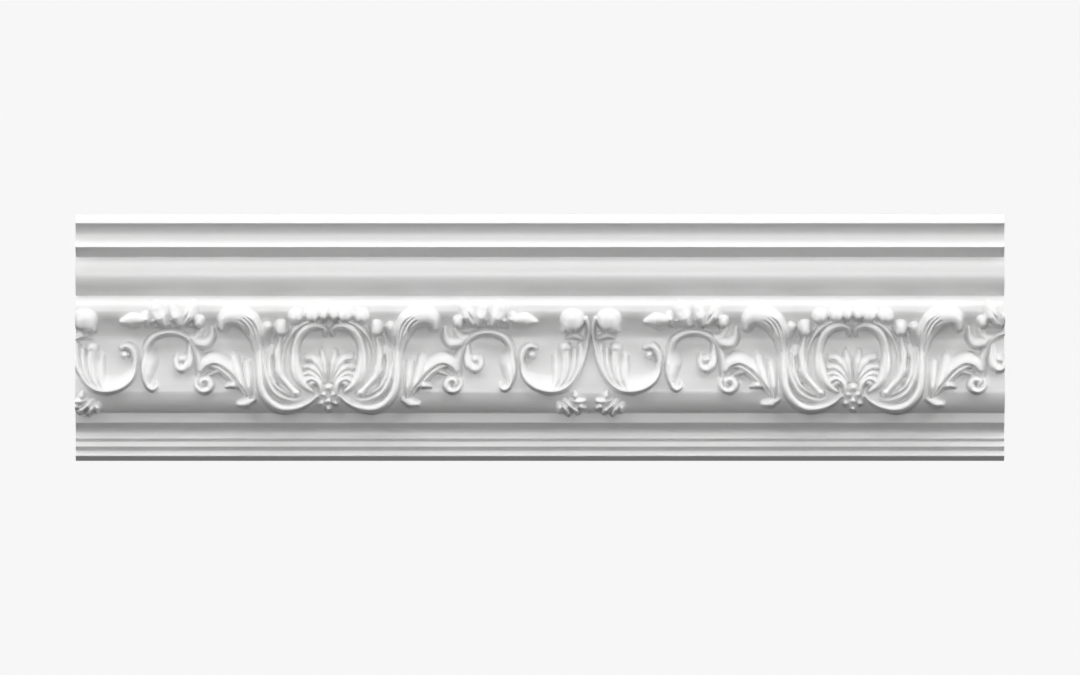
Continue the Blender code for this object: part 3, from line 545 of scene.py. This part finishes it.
def blankMoulding(face):
    # The section is drawn at both ends. The plain members run from end to end, and the carved stretch
    # is a fine net. Rows go up the front and down the back.
    c = cornice
    half = c["length"] / 2 * metre
    lowHeights = np.arange(0, face.foot, c["memberStep"])
    carvedHeights = np.linspace(face.foot, face.top, round((face.top - face.foot) / c["carvedStep"]) + 1)
    highHeights = np.arange(face.full, face.top, -c["memberStep"])[::-1]
    stations = np.linspace(-half, half, round(c["length"] / c["carvedStep"]) + 1)
    bm = bmesh.new()
    rows = []
    parts = ((lowHeights, (-half, half)), (carvedHeights, stations), (highHeights, (-half, half)))
    for heights, across in parts:
        for y, z in zip(*face.place(heights, face.at(heights))):
            rows.append([bm.verts.new((x, y * metre, z * metre)) for x in across])
    ceiling, bed = rows[-1][0].co, c["bed"] * metre
    for y, z in ((ceiling.y + bed, ceiling.z), (0, bed / 2)):
        rows.append([bm.verts.new((x, y, z)) for x in (-half, half)])
    for below, above in zip(rows, rows[1:] + rows[:1]):
        joinRows(bm, below, above)
    bm.faces.new([row[0] for row in rows])
    bm.faces.new([row[-1] for row in rows[::-1]])
    mesh = bpy.data.meshes.new("corniceCasting")
    bm.to_mesh(mesh)
    bm.free()
    return mesh


def faceCoordinates(face, points):
    y, z = points[:, 1] / metre - face.edge[0], points[:, 2] / metre - face.edge[1]
    high = y * face.up[0] + z * face.up[1]
    stand = y * face.out[0] + z * face.out[1]
    return high, stand


def sheetStation(x):
    run = (x / metre + cornice["length"] / 2 - carving["firstAxis"]) / carving["repeat"]
    offset = run - np.round(run)
    return np.abs(offset) * 2 * carving["sheetLength"], np.sign(offset)


def carveFront(mesh, face, sheet):
    points = readPoints(mesh)
    high, stand = faceCoordinates(face, points)
    within = (high > face.foot + 0.01) & (high < face.top - 0.01)
    carved = within & (stand > -cornice["frontWithin"])
    station, _ = sheetStation(points[:, 0])
    raised = np.where(carved, sheet.sample(sheet.height, station, high), 0)
    points[:, 1] += face.out[0] * raised * metre
    points[:, 2] += face.out[1] * raised * metre
    mesh.vertices.foreach_set("co", points.astype(np.float32).ravel())
    mesh.update()
    return carved


def thinTriangles(obj, carved):
    # The plain members keep few triangles, so that the carving gets the rest.
    c = cornice
    group = obj.vertex_groups.new(name="carved")
    group.add(np.nonzero(carved)[0].tolist(), 1.0, "REPLACE")
    thin = obj.modifiers.new("Thin", "DECIMATE")
    triangles = sum(len(p.vertices) - 2 for p in obj.data.polygons)
    thin.ratio = min(1.0, c["triangles"] / triangles)
    thin.vertex_group = "carved"
    thin.vertex_group_factor = c["carvedShare"]
    bpy.context.view_layer.update()
    graph = bpy.context.evaluated_depsgraph_get()
    mesh = bpy.data.meshes.new_from_object(obj.evaluated_get(graph))
    obj.modifiers.clear()
    obj.vertex_groups.clear()
    obj.data = mesh
    # The cut ends and the two beds stay true.
    points = readPoints(mesh)
    half, ceiling, near = np.array([c["length"] / 2, c["drop"] - c["bed"] / 2, c["trueWithin"]]) * metre
    x, y, z = points.T
    points[:, 0] = np.where(np.abs(x) > half - near, np.sign(x) * half, x)
    points[:, 1] = np.where(y > -near, 0, y)
    points[:, 2] = np.where(z > ceiling - near, ceiling, z)
    mesh.vertices.foreach_set("co", points.astype(np.float32).ravel())
    mesh.update()
    return mesh


def smoothFront(mesh, face, sheet):
    # Each point of the front takes its direction from the form itself, so no triangle shows.
    points = readPoints(mesh)
    high, stand = faceCoordinates(face, points)
    station, side = sheetStation(points[:, 0])
    inside = (high > face.foot) & (high < face.top)
    run = np.where(inside, sheet.sample(sheet.run, station, high) * side, 0)
    rise = np.where(inside, sheet.sample(sheet.rise, station, high), 0)
    along = -run
    upward = -(face.slopeAt(high) + rise)
    normals = np.stack([along, upward * face.up[0] + face.out[0], upward * face.up[1] + face.out[1]], 1)
    normals /= np.sqrt(along**2 + upward**2 + 1)[:, None]
    half = cornice["length"] / 2 * metre
    ceiling = (cornice["drop"] - cornice["bed"] / 2) * metre
    centres = np.array([p.center for p in mesh.polygons])
    endwise = np.abs([p.normal.x for p in mesh.polygons]) > 0.999
    atEnd = (np.abs(np.abs(centres[:, 0]) - half) < 1e-5) & endwise
    onBed = (centres[:, 1] > -1e-6) | (centres[:, 2] > ceiling - 1e-6)
    frontFace = ~atEnd & ~onBed & (faceCoordinates(face, centres)[1] > -cornice["frontWithin"])
    mesh.polygons.foreach_set("use_smooth", frontFace)
    corner = np.empty(len(mesh.loops), np.int32)
    mesh.loops.foreach_get("vertex_index", corner)
    totals = np.empty(len(mesh.polygons), np.int32)
    mesh.polygons.foreach_get("loop_total", totals)
    ofFront = np.repeat(frontFace, totals)
    split = np.where(ofFront[:, None], normals[corner], 0)
    mesh.normals_split_custom_set(split.tolist())


def satinWhite():
    # Satin white paint sprayed on moulded polyurethane. It gives a soft even gloss, with a trace of
    # waviness 8 mm wide from the spray and a grain of about 1 mm from the mould.
    material = bpy.data.materials.new("satinWhitePaint")
    material.use_nodes = True
    tree = material.node_tree
    tree.nodes.clear()
    place = addNode(tree, "ShaderNodeTexCoord").outputs["Object"]
    cloud = addNode(tree, "ShaderNodeTexNoise", inputs={"Vector": place, "Scale": 22.0, "Detail": 3.0})
    tint = addNode(
        tree, "ShaderNodeMix", {"data_type": "RGBA"},
        {"Factor": cloud.outputs["Fac"], "A": linearColour("#F3F3F2"), "B": linearColour("#F4F4F4")},
    )
    gloss = addNode(
        tree, "ShaderNodeMapRange",
        inputs={
            "Value": cloud.outputs["Fac"], "From Min": 0.3, "From Max": 0.7,
            "To Min": 0.3, "To Max": 0.32,
        },
    )
    grain = addNode(tree, "ShaderNodeTexNoise", inputs={"Vector": place, "Scale": 900.0, "Detail": 2.0})
    flow = addNode(tree, "ShaderNodeTexNoise", inputs={"Vector": place, "Scale": 120.0, "Detail": 2.0})
    fine = addNode(
        tree, "ShaderNodeBump",
        inputs={"Height": grain.outputs["Fac"], "Strength": 0.25, "Distance": 0.00004},
    )
    wave = addNode(
        tree, "ShaderNodeBump",
        inputs={
            "Height": flow.outputs["Fac"], "Strength": 0.5, "Distance": 0.0001,
            "Normal": fine.outputs["Normal"],
        },
    )
    shader = addNode(
        tree, "ShaderNodeBsdfPrincipled",
        inputs={
            "Base Color": tint.outputs["Result"],
            "Roughness": gloss.outputs["Result"],
            "IOR": 1.5,
            "Normal": wave.outputs["Normal"],
        },
    )
    addNode(tree, "ShaderNodeOutputMaterial", inputs={"Surface": shader.outputs["BSDF"]})
    return material


def castCornice():
    face = RakingFace(cornice)
    sheet = carvedSheet(carving, face)
    print("carving drawn")
    mesh = blankMoulding(face)
    obj = bpy.data.objects.new("corniceCasting", mesh)
    bpy.context.scene.collection.objects.link(obj)
    carved = carveFront(mesh, face, sheet)
    print("front carved:", len(mesh.vertices), "points")
    mesh = thinTriangles(obj, carved)
    smoothFront(mesh, face, sheet)
    mesh.materials.append(satinWhite())
    print("casting thinned:", len(mesh.polygons), "faces")
    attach(obj, "root")
    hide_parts("cornice_length")
    return obj


studio = {
    "lens": 300.0,
    "fieldWidth": 619.0,
    "floorDrop": 5500.0,
    "floorRadius": 9000.0,
    "lampDistance": 2400.0,
    "lampLength": 1000.0,
    "lampWidth": 500.0,
    "backSpread": 40.0,
    "paper": "#F7F7F7",
    "roomLight": 0.03,
    "wallLight": 0.05,
}


def setStage():
    s = studio
    centre = Vector((0, -cornice["drop"] / 2, cornice["drop"] / 2 - cornice["bed"] / 2)) * metre
    outward = Vector((0, -1, -1)).normalized()
    upward = Vector((0, -1, 1)).normalized()
    camera = bpy.data.cameras.new("photoView")
    camera.lens = s["lens"]
    camera.sensor_width = 36
    distance = s["fieldWidth"] * metre * s["lens"] / 36
    holder = bpy.data.objects.new("photoView", camera)
    holder.location = centre + outward * distance
    holder.rotation_euler = (-outward).to_track_quat("-Z", "Y").to_euler()
    bpy.context.scene.collection.objects.link(holder)
    bpy.context.scene.camera = holder

    # Lamps round the top of the moulding, each with its watts, its side angle and its height above the
    # face. One with a side angle is a pair. The last lights the back.
    along = Vector((1, 0, 0))
    for name, power, aside, above in (
        ("topStrip", 5.0, 0, 6),
        ("highStrip", 4.5, 0, 18),
        ("highBank", 3.9, 0, 32),
        ("frontBank", 15.5, 0, 80),
        ("shoulderStrip", 6.9, 40, 6),
        ("shoulderBank", 5.2, 40, 20),
        ("shoulderFill", 7.6, 40, 40),
        ("sideStrip", 17.0, 75, 8),
        ("backLight", 2.4, 0, 262),
    ):
        for side in (-1, 1) if aside else (1,):
            turn, lift = math.radians(aside) * side, math.radians(above)
            level = upward * math.cos(turn) + along * math.sin(turn)
            towards = level * math.cos(lift) + outward * math.sin(lift)
            across = outward.cross(towards).normalized()
            light = bpy.data.lights.new(name, "AREA")
            light.shape = "RECTANGLE"
            light.energy = power
            light.size, light.size_y = s["lampLength"] * metre, s["lampWidth"] * metre
            if name == "backLight":
                light.spread = math.radians(s["backSpread"])
            lamp = bpy.data.objects.new(name, light)
            lamp.location = centre + towards * s["lampDistance"] * metre
            lamp.rotation_euler = Matrix((across, towards.cross(across), towards)).transposed().to_euler()
            lamp.visible_camera = False
            bpy.context.scene.collection.objects.link(lamp)

    world = bpy.data.worlds.new("paleStudio")
    bpy.context.scene.world = world
    world.use_nodes = True
    tree = world.node_tree
    tree.nodes.clear()
    seen = addNode(tree, "ShaderNodeLightPath").outputs["Is Camera Ray"]
    # The camera sees the paper, and the moulding sees a dim room with a slightly lighter wall behind it.
    behind = addNode(
        tree, "ShaderNodeVectorMath", {"operation": "DOT_PRODUCT"},
        {0: addNode(tree, "ShaderNodeTexCoord").outputs["Generated"], 1: outward},
    )
    bright = addNode(
        tree, "ShaderNodeMapRange",
        inputs={
            "Value": behind.outputs["Value"], "From Min": -0.95, "From Max": -0.6,
            "To Min": s["wallLight"], "To Max": s["roomLight"],
        },
    )
    room = addNode(
        tree, "ShaderNodeBackground",
        inputs={"Color": linearColour("#FFFFFF"), "Strength": bright.outputs["Result"]},
    )
    paper = addNode(
        tree, "ShaderNodeBackground", inputs={"Color": linearColour(s["paper"]), "Strength": 1.0}
    )
    both = addNode(tree, "ShaderNodeMixShader", inputs={"Fac": seen})
    tree.links.new(room.outputs["Background"], both.inputs[1])
    tree.links.new(paper.outputs["Background"], both.inputs[2])
    addNode(tree, "ShaderNodeOutputWorld", inputs={"Surface": both.outputs["Shader"]})

    bm = bmesh.new()
    bmesh.ops.create_circle(bm, cap_ends=True, segments=96, radius=s["floorRadius"] * metre)
    bmesh.ops.translate(bm, vec=(0, 0, -s["floorDrop"] * metre), verts=bm.verts)
    mesh = bpy.data.meshes.new("floor")
    bm.to_mesh(mesh)
    bm.free()
    floor = bpy.data.objects.new("floor", mesh)
    bpy.context.scene.collection.objects.link(floor)
    # The floor is as pale as the paper without lighting the moulding from below.
    floor.visible_diffuse = floor.visible_glossy = False
    material = bpy.data.materials.new("paleFloor")
    material.use_nodes = True
    tree = material.node_tree
    tree.nodes.clear()
    glow = addNode(
        tree, "ShaderNodeEmission", inputs={"Color": linearColour(s["paper"]), "Strength": 1.0}
    )
    addNode(tree, "ShaderNodeOutputMaterial", inputs={"Surface": glow.outputs["Emission"]})
    mesh.materials.append(material)
    bpy.context.scene.view_settings.view_transform = "Standard"


setStage()
print("stage set")
castCornice()
